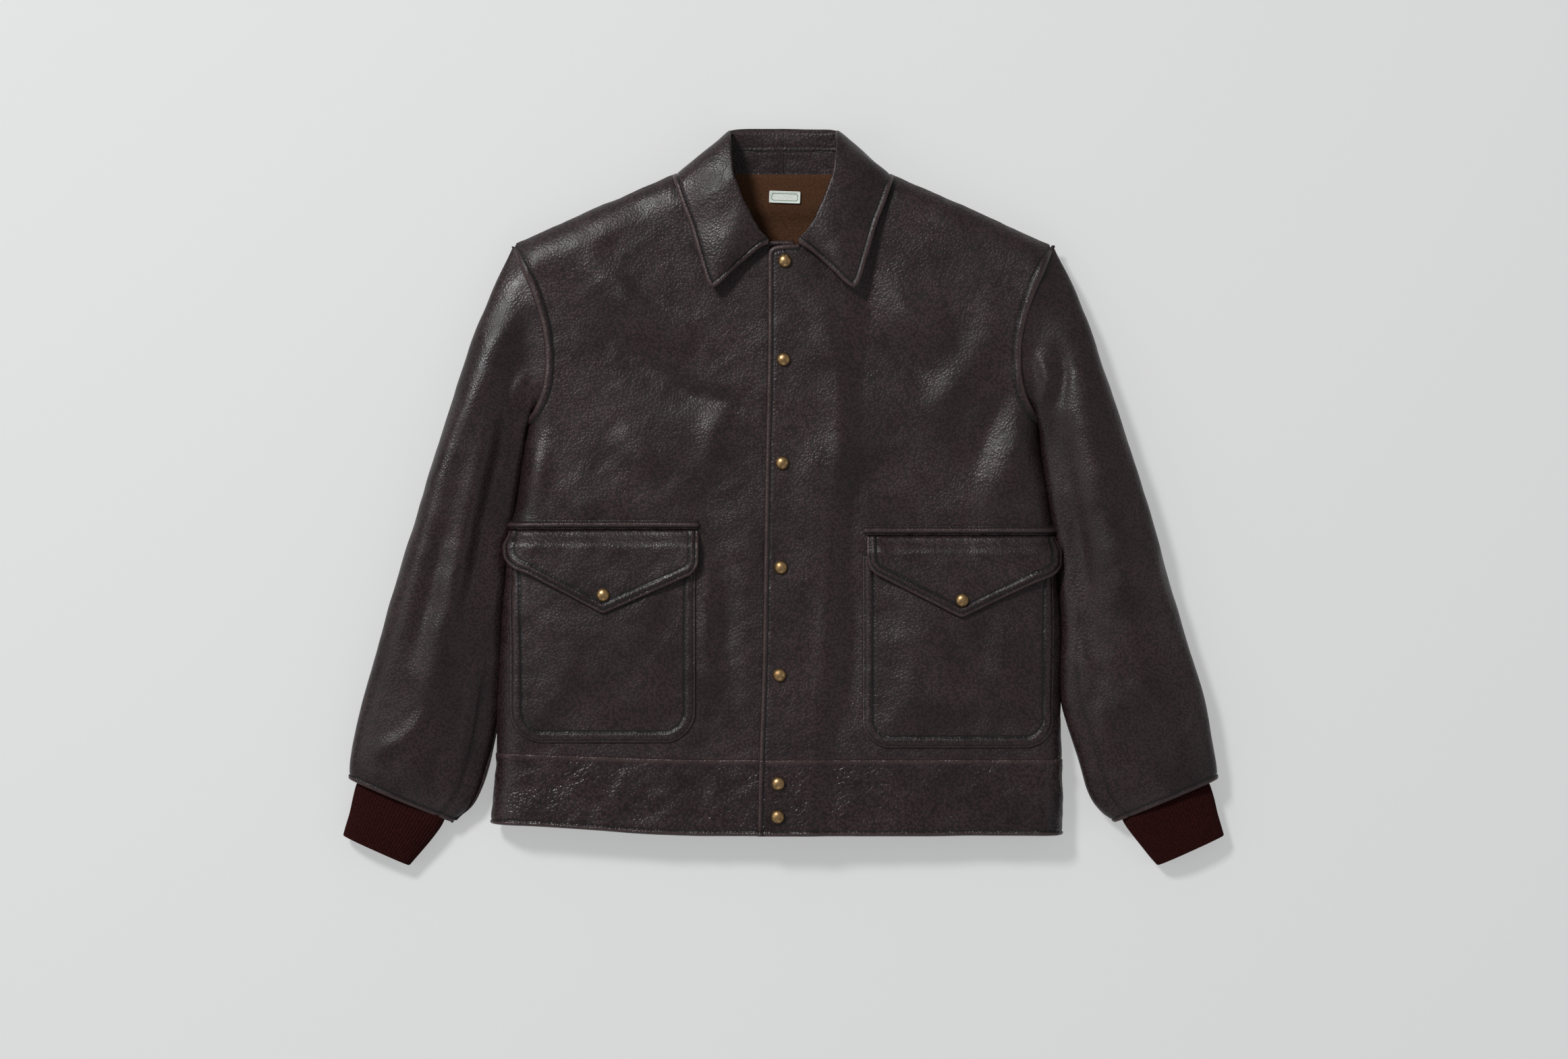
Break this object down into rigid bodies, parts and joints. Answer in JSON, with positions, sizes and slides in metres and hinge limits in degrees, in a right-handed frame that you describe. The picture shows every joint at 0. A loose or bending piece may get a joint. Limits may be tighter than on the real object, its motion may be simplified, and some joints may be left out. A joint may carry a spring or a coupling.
{
  "type": "leather jacket",
  "caption": "Blouson-style leather jacket with a snap front, turn-down collar, flapped patch pockets, waistband and rib-knit cuffs, lying flat on its back.",
  "frame": {"origin": "on the surface that the back lies on, below the middle of the jacket's bounding box", "axes": "+X towards the wearer's left, +Y from the hem towards the collar, +Z out of the jacket's front"},
  "size_m": [0.829, 0.6912, 0.0571],
  "materials": {
    "leather": "semi-gloss pebbled dark brown leather",
    "lining": "matt brown woven lining",
    "rib_knit": "matt dark oxblood rib knit",
    "brass": "aged satin brass",
    "label": "woven off-white label, blank"
  },
  "bodies": {
    "shell": {"back_panel": "leather", "back_lining": "lining", "back_waistband": "leather", "collar_stand_back": "leather", "collar_leaf_back": "leather", "neck_label": "label", "front_panel_left": "leather", "front_lining_left": "lining", "waistband_left": "leather", "pocket_left": "leather", "pocket_welt_left": "leather", "flap_stud_left": "brass", "front_panel_right": "leather", "front_lining_right": "lining", "waistband_right": "leather", "pocket_right": "leather", "pocket_welt_right": "leather", "flap_stud_right": "brass"},
    "left_front": {"front_edge_left": "leather", "front_facing_left": "leather", "waistband_end_left": "leather", "collar_stand_left": "leather", "collar_leaf_left": "leather", "snap_cap_1": "brass", "snap_cap_2": "brass", "snap_cap_3": "brass", "snap_cap_4": "brass", "snap_cap_5": "brass", "snap_cap_6": "brass", "snap_cap_7": "brass"},
    "right_front": {"front_edge_right": "leather", "front_facing_right": "leather", "waistband_end_right": "leather", "collar_stand_right": "leather", "collar_leaf_right": "leather", "snap_stud_1": "brass", "snap_stud_2": "brass", "snap_stud_3": "brass", "snap_stud_4": "brass", "snap_stud_5": "brass", "snap_stud_6": "brass", "snap_stud_7": "brass"},
    "left_flap": {"pocket_flap_left": "leather", "flap_cap_left": "brass"},
    "right_flap": {"pocket_flap_right": "leather", "flap_cap_right": "brass"},
    "left_sleeve": {"top_sleeve_left": "leather", "under_sleeve_left": "leather", "sleeve_lining_left": "lining", "rib_cuff_left": "rib_knit"},
    "right_sleeve": {"top_sleeve_right": "leather", "under_sleeve_right": "leather", "sleeve_lining_right": "lining", "rib_cuff_right": "rib_knit"}
  },
  "joints": [
    {"name": "left_front_open", "type": "hinge", "parent": "shell", "child": "left_front", "pos_m": [0.05, -0.316, 0.0395], "axis": [0.0705, 0.9975, 0], "range_deg": [0, 105]},
    {"name": "right_front_open", "type": "hinge", "parent": "shell", "child": "right_front", "pos_m": [-0.05, -0.316, 0.0395], "axis": [0.0705, -0.9975, 0], "range_deg": [0, 60]},
    {"name": "left_flap_open", "type": "hinge", "parent": "shell", "child": "left_flap", "pos_m": [0.165, -0.0353, 0.0416], "axis": [-1, 0, 0], "range_deg": [0, 150]},
    {"name": "right_flap_open", "type": "hinge", "parent": "shell", "child": "right_flap", "pos_m": [-0.17, -0.0298, 0.0416], "axis": [-1, 0, 0], "range_deg": [0, 150]},
    {"name": "left_sleeve_swing", "type": "hinge", "parent": "shell", "child": "left_sleeve", "pos_m": [0.2556, 0.2362, 0.017], "axis": [0, 0, 1], "range_deg": [0, 40]},
    {"name": "right_sleeve_swing", "type": "hinge", "parent": "shell", "child": "right_sleeve", "pos_m": [-0.2556, 0.2362, 0.017], "axis": [0, 0, -1], "range_deg": [0, 40]}
  ],
  "couplings": [
    {"joint": "right_front_open", "follows": "left_front_open", "ratio": 0.45}
  ]
}
